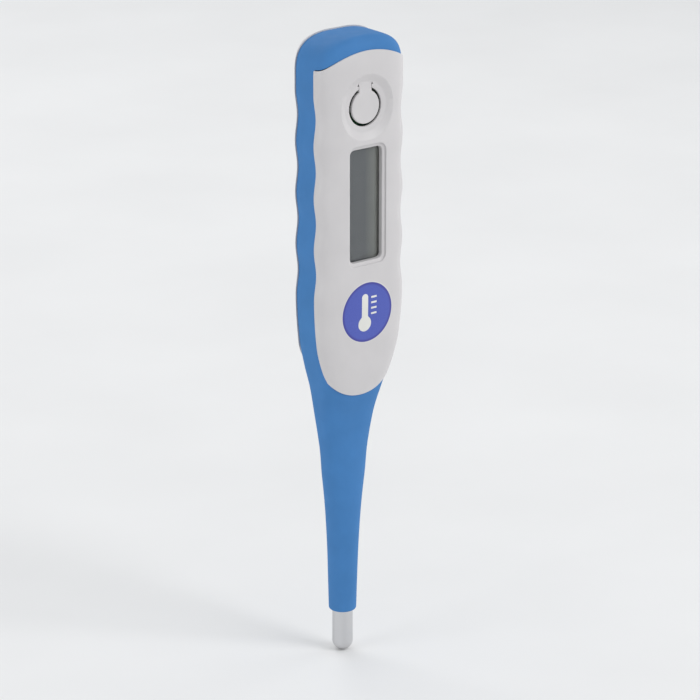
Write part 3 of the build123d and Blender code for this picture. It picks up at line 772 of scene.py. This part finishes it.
def build_front_cover():
    shares = np.sin(np.linspace(-pi / 2, pi / 2, 61))
    shares = 0.5 * shares + 0.5 * np.linspace(-1, 1, 61)
    grid = face_grid(shares, TONGUE_END, arch_height, front_seam, 150)
    cover = shell("front_cover_shell", grid, COVER_WALL, front_seam)
    soften(cover, 0.22)
    wide, long = window_half_width + RIM_SIDE, window_half_length + RIM_END
    rim = rounded_rectangle(wide, long, RIM_CORNER, window_height)
    join(cover, prism("window_rim", rim, (RIM_FRONT, panel_low[1])))
    for height in screw_heights:
        join(cover, rod("boss", BOSS_RADIUS, (BOSS_FRONT, board_front), (0, 0, height), 48))
        levels = (SCREW_HOLE_FRONT, board_front + 1)
        cut(cover, rod("screw_hole", SCREW_HOLE_RADIUS, levels, (0, 0, height), 48))
    cut(cover, window_cutter())
    cut(cover, lathe("dish_cutter", DISH_PROFILE, (0, 0, button_height), "Y", 128))
    slot = BRIDGE_HALF_WIDTH + BRIDGE_GAP
    cut(cover, block("slot_cutter", (-slot, slot), (-9.5, -6.0), (button_height, bridge_top)))
    for side in (-1, 1):
        centre = (side * (BRIDGE_HALF_WIDTH + RELIEF_SHIFT), 0, bridge_top - RELIEF_RADIUS)
        cut(cover, rod("relief_cutter", RELIEF_RADIUS, (-9.0, -7.0), centre, 32))
    place(cover, "cover_grey", "housing", "front_cover", weighted=True)


build_front_cover()


def build_window():
    """The clear window, a hair in front of the display, with its front edge bevelled."""
    half_width, half_length = window_half_width + lens_margin, window_half_length + lens_margin
    back, front = panel_high[1] - 0.05, panel_low[1] + 0.02
    rings = []
    for inset, level in ((0.0, back), (0.0, front + 0.08), (0.08, front)):
        outline = rounded_rectangle(half_width - inset, half_length - inset, WINDOW_CORNER, window_height)
        rings.append(np.array([(x, level, z) for x, z in outline]))
    place(loft("window_lens", rings), "window_clear", "housing", "lcd_window")


build_window()

# ---------------------------------------------------------------- button

BUTTON_FRONT = button_low[1]
BUTTON_BACK = -7.65
BUTTON_EDGE = 0.2
FINGER_HOLLOW = 0.07
# Distances up from the button's centre where its face falls, and its round edge fades, to the tab.
FALL_START = 3.0
FALL_END = 4.7
TAB_START = 5.15


def keyhole(count=200):
    """The button's outline from its centre: a disc with the bridge's tab on top."""
    reach = bridge_top - button_height
    half = np.degrees(np.arcsin(BRIDGE_HALF_WIDTH / button_radius))
    disc = arc((0, 0), button_radius, 90 + half, 450 - half, 161)
    corners = [(BRIDGE_HALF_WIDTH, reach), (-BRIDGE_HALF_WIDTH, reach)]
    outline = np.array(disc + corners + disc[:1])
    length = np.r_[0, np.cumsum(np.hypot(*np.diff(outline, axis=0).T))]
    even = np.linspace(0, length[-1], count, endpoint=False)
    return np.column_stack([np.interp(even, length, line) for line in outline.T])


def smoothstep(value, start, end):
    """0 before start and 1 after end, with a smooth rise between them."""
    share = np.clip((value - start) / (end - start), 0, 1)
    return share * share * (3 - 2 * share)


def button_face(points):
    """Level of the button's face: a shallow hollow for the finger, down to the floor at the tab."""
    radius = np.hypot(points[:, 0], points[:, 1])
    hollow = FINGER_HOLLOW * (1 - np.clip(radius / button_radius, 0, 1) ** 2)
    drop = (DISH_FLOOR - BUTTON_FRONT) * smoothstep(points[:, 1], FALL_START, FALL_END)
    return BUTTON_FRONT + hollow + drop


def build_button():
    """The button's pad, its tab under the bridge, and the stem that presses the dome."""
    outline = keyhole()
    distance = np.hypot(outline[:, 0], outline[:, 1])[:, None]
    held = 1 - smoothstep(outline[:, 1], FALL_END, TAB_START)
    rings = [(outline, np.full(len(outline), BUTTON_BACK))]
    for inset in (0.0, 0.02, 0.07, 0.14, BUTTON_EDGE):
        points = outline * (1 - inset / distance)
        round_off = BUTTON_EDGE - sqrt(max(BUTTON_EDGE**2 - (BUTTON_EDGE - inset) ** 2, 0))
        points[:, 1] = np.where(held < 0.5, outline[:, 1], points[:, 1])
        rings.append((points, button_face(points) + round_off * held))
    for share in (0.88, 0.8, 0.7, 0.6, 0.48, 0.36, 0.24, 0.12, 0.03):
        points = outline * share
        rings.append((points, button_face(points)))
    made = [np.column_stack([p[:, 0], level, p[:, 1] + button_height]) for p, level in rings]
    button = loft("button_paddle", made)
    stem = [(0, BUTTON_BACK - 0.4), (1.2, BUTTON_BACK - 0.4), (1.2, -3.3), (1.0, -3.1), (0, -3.1)]
    join(button, lathe("stem", stem, (0, 0, button_height), "Y", 48))
    place(button, "cover_grey", "button", "button", weighted=True)


build_button()

# ---------------------------------------------------------------- rear cover and battery door

DOOR_GAP = 0.1
DOOR_HALF_WIDTH = 6.2  # the door's visible face; its rails reach further out
DOOR_INNER = door_low[1]
RAIL_BACK = DOOR_INNER + 0.5
RAIL_LOW = 105.0
RAIL_HIGH = 127.0
CELL_HOLE_RADIUS = 4.3

THUMB_COUNT = 5
THUMB_START = 4.35
THUMB_PITCH = 1.6
THUMB_REACH = 3.5
THUMB_TAPER = 0.25  # how much shorter each groove is than the one nearer the middle
THUMB_RADIUS = 0.38
THUMB_DEPTH = 0.3
ARROW_HALF_WIDTH = 1.3
ARROW_HEIGHT = 1.7
ARROW_DEPTH = 0.25


def highest(reaches):
    """Highest level of the dome at which a test still holds."""
    low, high = DOME_START, BODY_TOP
    for _ in range(40):
        middle = (low + high) / 2
        if reaches(middle):
            low = middle
        else:
            high = middle
    return low


def build_rear_cover():
    """The rear shell, up to where the dome grows too thin for it, with the door's way cut out."""
    top = highest(lambda height: section(height)[2] > SEAM_REAR + 0.1)
    shares = np.sin(np.linspace(-pi / 2, pi / 2, 61))
    grid = face_grid(shares, REAR_TONGUE_END, lambda share: DOME_START, rear_seam, 110, rear=True)
    turn = np.linspace(0, np.arcsin((top - DOME_START) / (BODY_TOP - DOME_START)), 25)[1:]
    dome = DOME_START + (BODY_TOP - DOME_START) * np.sin(turn)
    rows = [[wrap(share, height, SEAM_REAR, rear=True) for share in shares] for height in dome]
    cover = shell("rear_cover_shell", np.concatenate([grid, rows]), COVER_WALL, rear_seam)
    soften(cover, 0.2)
    side = DOOR_HALF_WIDTH + DOOR_GAP
    low = door_low[2] - DOOR_GAP
    floor = DOOR_INNER - DOOR_GAP
    lengthways = (low, BODY_TOP + 2)
    cut(cover, block("door_cutter", (-side, side), (floor, 5), lengthways))
    rail = door_high[0] + DOOR_GAP
    cut(cover, block("rail_cutter", (-rail, rail), (floor, RAIL_BACK + DOOR_GAP), lengthways))
    cut(cover, rod("cell_cutter", CELL_HOLE_RADIUS, (0, 5), (0, 0, cell_height), 64))
    place(cover, "cover_grey", "housing", "rear_cover", weighted=True)


def build_battery_door():
    """The sliding door, with its rails, thumb grooves and arrow."""
    columns = []
    across = np.concatenate([[-1], np.linspace(-0.985, 0.985, 41), [1]]) * DOOR_HALF_WIDTH
    for x in across:
        end = highest(lambda height, x=x: skin(x, height, rear=True) > DOOR_INNER + 0.05)
        heights = np.concatenate([[door_low[2]], rows_between(door_low[2] + 0.1, end, 70, 0.6)])
        columns.append([(x, skin(x, height, rear=True), height) for height in heights])
    grid = np.array(columns).transpose(1, 0, 2)
    inner = grid.copy()
    inner[..., 1] = DOOR_INNER
    door = slab("battery_door_shell", grid, inner)
    rail = door_high[0]
    join(door, block("rail", (-rail, rail), (DOOR_INNER, RAIL_BACK), (RAIL_LOW, RAIL_HIGH)))
    for index in range(THUMB_COUNT):
        height = door_low[2] + THUMB_START + THUMB_PITCH * index
        reach = THUMB_REACH - THUMB_TAPER * abs(index - THUMB_COUNT // 2)
        groove = arc((-reach, height), THUMB_RADIUS, 90, 270, 12)
        groove += arc((reach, height), THUMB_RADIUS, -90, 90, 12)
        cut(door, prism("thumb_cutter", groove, (REAR_FLAT - THUMB_DEPTH, REAR_FLAT + 1)))
    foot = door_low[2] + THUMB_START + THUMB_PITCH * THUMB_COUNT + 1.0
    arrow = [(-ARROW_HALF_WIDTH, foot), (ARROW_HALF_WIDTH, foot), (0.0, foot + ARROW_HEIGHT)]
    cut(door, prism("arrow_cutter", arrow, (REAR_FLAT - ARROW_DEPTH, REAR_FLAT + 1)))
    place(door, "cover_grey", "battery_door", "battery_door", weighted=True)


build_rear_cover()
build_battery_door()

# ---------------------------------------------------------------- soft body

RING_COUNT = 144
LEAD_ROOM_HALF_WIDTH = 2.2
LEAD_ROOM = (-2.2, 0.9)  # the levels in y between which the leads pass from the neck to the board


def dome_heights(inset):
    """Heights up the dome, closer together towards its top."""
    turn = np.radians(np.linspace(0, 88.0, 26))
    return DOME_START + (BODY_TOP - inset - DOME_START) * np.sin(turn)


def form_solid(name, low, inset, step):
    """The outer form as one solid from a height upwards."""
    heights = np.linspace(low, DOME_START, int((DOME_START - low) / step) + 1)
    heights = np.concatenate([heights, dome_heights(inset)[1:]])
    return loft(name, [ring(height, RING_COUNT, inset) for height in heights])


def build_soft_body():
    """The blue moulding: the form, less the covers' rooms, its own cavity and the leads' way."""
    body = form_solid("soft_body_moulding", cuts[0], SOFT_INSET, 0.7)
    room = prism("front_room", zone_outline(TONGUE_END, True), (-12.0, SEAM_FRONT))
    low, high = SEAM_RISE[0][0], SEAM_RISE[-1][0]
    edge = [(front_seam(height), height) for height in np.linspace(low, high, 41)]
    edge += [(SEAM_FRONT + 1, high), (SEAM_FRONT + 1, low)]
    cut(room, side_prism("seam_cutter", edge, (-ZONE_REACH - 1, ZONE_REACH + 1)))
    cut(body, room)
    cut(body, prism("rear_room", zone_outline(REAR_TONGUE_END, False), (SEAM_REAR, 6.0)))
    cut(body, form_solid("cavity", CAVITY_LOW, SOFT_WALL, 1.5))
    start, end = cuts[0] - 1, CAVITY_LOW + 1
    bore = [(0, start), (BORE_RADIUS, start), (BORE_RADIUS, end), (0, end)]
    cut(body, lathe("bore", bore, count=48))
    sides = (-LEAD_ROOM_HALF_WIDTH, LEAD_ROOM_HALF_WIDTH)
    cut(body, block("lead_room", sides, LEAD_ROOM, (CAVITY_LOW - 4, end)))
    place(body, "soft_blue", "housing", "soft_body", weighted=True)


build_soft_body()

# ---------------------------------------------------------------- flexible neck

NECK_COUNT = 96
THIN = 0.04  # height of the thin rows that keep the shading even across two pieces
NECK_INSET_BLEND = 8.0  # the soft body's inset fades out over this much of the neck
NECK_EDGE = 0.5  # radius of the round end that the tip comes out of
TIP_SEAT_RADIUS = 2.2
SEAT_GAP = 0.02


def neck_inset(height):
    """The inset of the soft body, fading to nothing down the neck."""
    return SOFT_INSET * smoothstep(height, cuts[0] - NECK_INSET_BLEND, cuts[0])


def neck_rings(heights):
    return [ring(height, NECK_COUNT, float(neck_inset(height))) for height in heights]


def build_neck_span(index):
    """One stretch of the neck, round one joint, between its two bodies."""
    high, low = cuts[index], cuts[index + 1]
    heights = np.concatenate([[high, high - THIN], np.linspace(high, low, 13)[1:-1], [low + THIN, low]])
    bore = [circle(BORE_RADIUS, height, NECK_COUNT) for height in heights[::-1]]
    span = loft(f"neck_span_{index + 1}", neck_rings(heights) + bore, capped=False)
    node = f"neck_link_{index + 1}"
    place(span, "soft_blue", None, *([node] if node in frame["nodes"] else []))
    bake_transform(span)


def build_neck_end():
    """The neck's last stretch, rounded over where the steel tip comes out."""
    high = cuts[-1]
    rings = neck_rings(np.concatenate([[high, high - THIN], np.linspace(high, NECK_EDGE, 9)[1:]]))
    for turn in np.radians(np.linspace(0, 90, 9)[1:]):
        height, inset = NECK_EDGE * (1 - sin(turn)), NECK_EDGE * (1 - cos(turn))
        rings.append(ring(height, NECK_COUNT, inset))
    mouth, seat, seat_top = tip_high[0], TIP_SEAT_RADIUS + SEAT_GAP, tip_high[2]
    inside = [(mouth + 0.06, 0.0), (mouth, 0.06), (seat, 0.1), (seat, seat_top)]
    inside += [(BORE_RADIUS, seat_top), (BORE_RADIUS, high)]
    rings += [circle(radius, height, NECK_COUNT) for radius, height in inside]
    end = loft("neck_end_moulding", rings, capped=False)
    place(end, "soft_blue", chain[-1], "neck_end")


for index in range(len(hinges)):
    build_neck_span(index)
build_neck_end()

# ---------------------------------------------------------------- probe tip

TIP_WALL = 0.25


def build_tip():
    """The drawn steel cup, with its narrower end inside the neck."""
    radius, seat = tip_high[0], TIP_SEAT_RADIUS
    nose = tip_low[2] + radius
    turn = np.radians(np.linspace(-90, 0, 25))
    outside = [(radius * cos(a), nose + radius * sin(a)) for a in turn]
    inner = radius - TIP_WALL
    inside = [(inner * cos(a), nose + inner * sin(a)) for a in turn[::-1]]
    shoulder = [(radius, -0.02), (radius - 0.02, 0.0), (seat, 0.0), (seat, tip_high[2])]
    back = [(seat - TIP_WALL, tip_high[2]), (seat - TIP_WALL, -TIP_WALL), (inner, -TIP_WALL)]
    profile = outside + shoulder + back + inside
    profile[0] = (0.0, profile[0][1])
    profile[-1] = (0.0, profile[-1][1])
    place(lathe("probe_tip_cup", profile), "steel", chain[-1], "probe_tip")


build_tip()

# ---------------------------------------------------------------- sensor leads

LEAD_RADIUS = 0.25
LEAD_SPACING = 0.35  # from the neck's axis, inside its bore
LEAD_SPREAD = 1.2  # from the middle, where they reach the board
LEAD_BEND_LOW = 58.0
LEAD_BEND_LENGTH = 10.5
LEAD_TOP = 71.0


def wire(name, routes, sides=16):
    """Round wires along routes that run mostly upwards, as one piece."""
    points, faces = [], []
    for route in routes:
        route = np.array(route, float)
        forward = np.gradient(route, axis=0)
        for spot, way in zip(route, forward / np.linalg.norm(forward, axis=1, keepdims=True)):
            side = np.cross(way, (0, 1, 0))
            side /= np.linalg.norm(side)
            other = np.cross(way, side)
            for turn in np.linspace(0, 2 * pi, sides, endpoint=False):
                points.append(spot + LEAD_RADIUS * (cos(turn) * side + sin(turn) * other))
        first = len(points) - len(route) * sides
        for level in range(len(route) - 1):
            faces += bridge(first + level * sides, first + (level + 1) * sides, sides)
        faces.append(tuple(range(first, first + sides)))
        faces.append(tuple(range(len(points) - sides, len(points))))
    return make(name, points, faces)


def straight_leads(name, high, low, steps):
    """Both leads along the neck's axis, between two heights."""
    sides = (-LEAD_SPACING, LEAD_SPACING)
    return wire(name, [[(x, 0, z) for z in np.linspace(low, high, steps)] for x in sides])


def build_leads():
    """The two leads: from the board to the neck, a stretch for each joint, and to the sensor."""
    routes = []
    for side in (-1, 1):
        straight = [(side * LEAD_SPACING, 0, z) for z in (cuts[0], 48, 56)]
        ease = np.linspace(0, 1, 13)
        bend = smoothstep(ease, 0, 1)
        x = side * (LEAD_SPACING + (LEAD_SPREAD - LEAD_SPACING) * bend)
        y = (board_back + LEAD_RADIUS) * bend
        curved = list(zip(x, y, LEAD_BEND_LOW + LEAD_BEND_LENGTH * ease))
        end = (side * LEAD_SPREAD, board_back + LEAD_RADIUS, LEAD_TOP)
        routes.append(straight + curved + [end])
    place(wire("leads_in_body", routes), "wire", "housing", "thermistor_leads")
    for index in range(len(hinges)):
        high, low = cuts[index], cuts[index + 1]
        leads = place(straight_leads(f"leads_span_{index + 1}", high, low, 13), "wire", None)
        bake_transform(leads)
    sensor_high = measure("thermistor")[1][2]
    place(straight_leads("leads_in_tip", cuts[-1], sensor_high, 3), "wire", chain[-1])


build_leads()

# ---------------------------------------------------------------- badge

BADGE_PROUD = 0.03
MARK_PROUD = BADGE_PROUD + 0.008
MARK_SHIFT = -0.7  # the sign's middle, left of the badge's
MARK_HALF_HEIGHT = 4.3
BULB_RADIUS = 1.75
STEM_RADIUS = 0.85
TICK_COUNT = 4
TICK_START = 2.1  # above the bulb's centre
TICK_PITCH = 1.25
TICK_MIDDLE = 1.75
TICK_HALF_WIDTH = 0.75
TICK_HALF_HEIGHT = 0.22


def on_face(x, height, proud):
    """Point that stands proud of the form's front face."""
    return np.array([x, skin(x, height) - proud, height])


def badge_ring(share, proud):
    radius = badge_radius * share
    turn = np.linspace(0, 2 * pi, 128, endpoint=False)
    return np.array([on_face(radius * cos(a), badge_height + radius * sin(a), proud) for a in turn])


def build_badge():
    """The printed disc, which follows the cover's curve and has a rounded edge."""
    sizes = [(1.0, -0.12), (1.0, 0.0), (0.996, 0.018), (0.988, BADGE_PROUD)]
    sizes += [(share, BADGE_PROUD) for share in (0.93, 0.85, 0.75, 0.6, 0.45, 0.3, 0.15, 0.02)]
    rings = [badge_ring(share, proud) for share, proud in sizes]
    place(loft("badge_disc", rings), "badge_print", "housing", "round_badge")


def strip(name, middle, low, high, half_width_at, proud, steps):
    """A thin raised shape on the front face, given by its half width at each height."""
    columns = 7
    heights = rows_between(low, high, steps, 1.0)
    across = np.linspace(-1, 1, columns)
    points, number = [], []
    for lift in (proud, -0.02):
        for height in heights:
            half = max(half_width_at(height), 1e-3)
            number.append(len(points))
            points += [on_face(middle + share * half, height, lift) for share in across]
    faces = []
    for layer in (0, steps):
        for row in range(steps - 1):
            faces += bridge(number[layer + row], number[layer + row + 1], columns, closed=False)
    for row in range(steps - 1):
        for edge in (0, columns - 1):
            upper = (number[row] + edge, number[row + 1] + edge)
            lower = (number[steps + row + 1] + edge, number[steps + row] + edge)
            faces.append(upper + lower)
    for row in (0, steps - 1):
        faces += bridge(number[row], number[steps + row], columns, closed=False)
    return make(name, points, faces)


def sign_half_width(height):
    """Half width of the thermometer sign: a round bulb, and a stem with a round top."""
    bulb = badge_height - MARK_HALF_HEIGHT + BULB_RADIUS
    bulb_half = sqrt(max(BULB_RADIUS**2 - (height - bulb) ** 2, 0))
    if height <= bulb:
        return bulb_half
    over = max(height - (badge_height + MARK_HALF_HEIGHT - STEM_RADIUS), 0)
    return max(bulb_half, sqrt(max(STEM_RADIUS**2 - over**2, 0)))


def build_mark():
    """A plain thermometer sign with its scale, in place of the printed mark."""
    low, high = badge_height - MARK_HALF_HEIGHT, badge_height + MARK_HALF_HEIGHT
    mark = strip("badge_sign", MARK_SHIFT, low, high, sign_half_width, MARK_PROUD, 61)
    place(mark, "mark_white", "housing")
    for index in range(TICK_COUNT):
        height = low + BULB_RADIUS + TICK_START + TICK_PITCH * index
        low_edge, high_edge = height - TICK_HALF_HEIGHT, height + TICK_HALF_HEIGHT
        name = f"badge_tick_{index + 1}"
        tick = strip(name, TICK_MIDDLE, low_edge, high_edge, lambda _: TICK_HALF_WIDTH, MARK_PROUD, 5)
        place(tick, "mark_white", "housing")


build_badge()
build_mark()

# ---------------------------------------------------------------- floor, light and camera

CAMERA_AZIMUTH = radians(-38.0)
CAMERA_ELEVATION = radians(18.7)
CAMERA_LENS = 190.0
# In metres, like the places and sizes of the lights below.
CAMERA_DISTANCE = 0.8157
FLOOR_RADIUS = 3.0


def build_floor():
    turn = np.linspace(0, 2 * pi, 96, endpoint=False)
    points = [(FLOOR_RADIUS * cos(a), FLOOR_RADIUS * sin(a), cad_low.z) for a in turn]
    mesh = bpy.data.meshes.new("floor")
    mesh.from_pydata(points, [], [tuple(range(len(points)))])
    floor = add("floor", mesh)
    nodes = Nodes("floor_pale")
    cloud = nodes.noise(60.0, 3.0)
    base = nodes.mix(nodes.ramp(cloud, 0, 1, 0.3, 0.7), (0.80, 0.80, 0.80), (0.83, 0.83, 0.83))
    mesh.materials.append(nodes.set(Base_Color=base, Roughness=0.7))


def aim(thing, target):
    thing.rotation_mode = "QUATERNION"
    thing.rotation_quaternion = (Vector(target) - thing.location).to_track_quat("-Z", "Y")


def area_light(name, spot, target, size, power):
    data = bpy.data.lights.new(name, "AREA")
    data.shape = "RECTANGLE"
    data.size, data.size_y = size
    data.energy = power
    light = add(name, data)
    light.location = spot
    aim(light, target)


def build_studio():
    centre = (cad_low + cad_high) / 2
    world = bpy.data.worlds.new("studio")
    world.use_nodes = True
    background = world.node_tree.nodes["Background"]
    background.inputs["Color"].default_value = (0.93, 0.95, 0.97, 1)
    background.inputs["Strength"].default_value = 0.62
    bpy.context.scene.world = world
    area_light("key", (0.35, -0.75, 0.65), centre, (0.5, 0.5), 4.0)
    area_light("fill", (0.85, -0.10, 0.30), centre, (0.5, 0.6), 1.2)
    area_light("side", (-0.9, 0.12, 0.25), centre, (0.5, 0.6), 2.2)
    area_light("back", (0.1, 0.7, 0.6), centre, (0.7, 0.5), 2.0)
    back = Vector((sin(CAMERA_AZIMUTH), -cos(CAMERA_AZIMUTH), 0)) * cos(CAMERA_ELEVATION)
    back.z = sin(CAMERA_ELEVATION)
    data = bpy.data.cameras.new("camera")
    data.lens = CAMERA_LENS
    data.clip_start = 0.01
    camera = add("camera", data)
    camera.location = centre + back * CAMERA_DISTANCE
    aim(camera, centre)
    bpy.context.scene.camera = camera
    bpy.context.scene.view_settings.view_transform = "Standard"


build_floor()
build_studio()
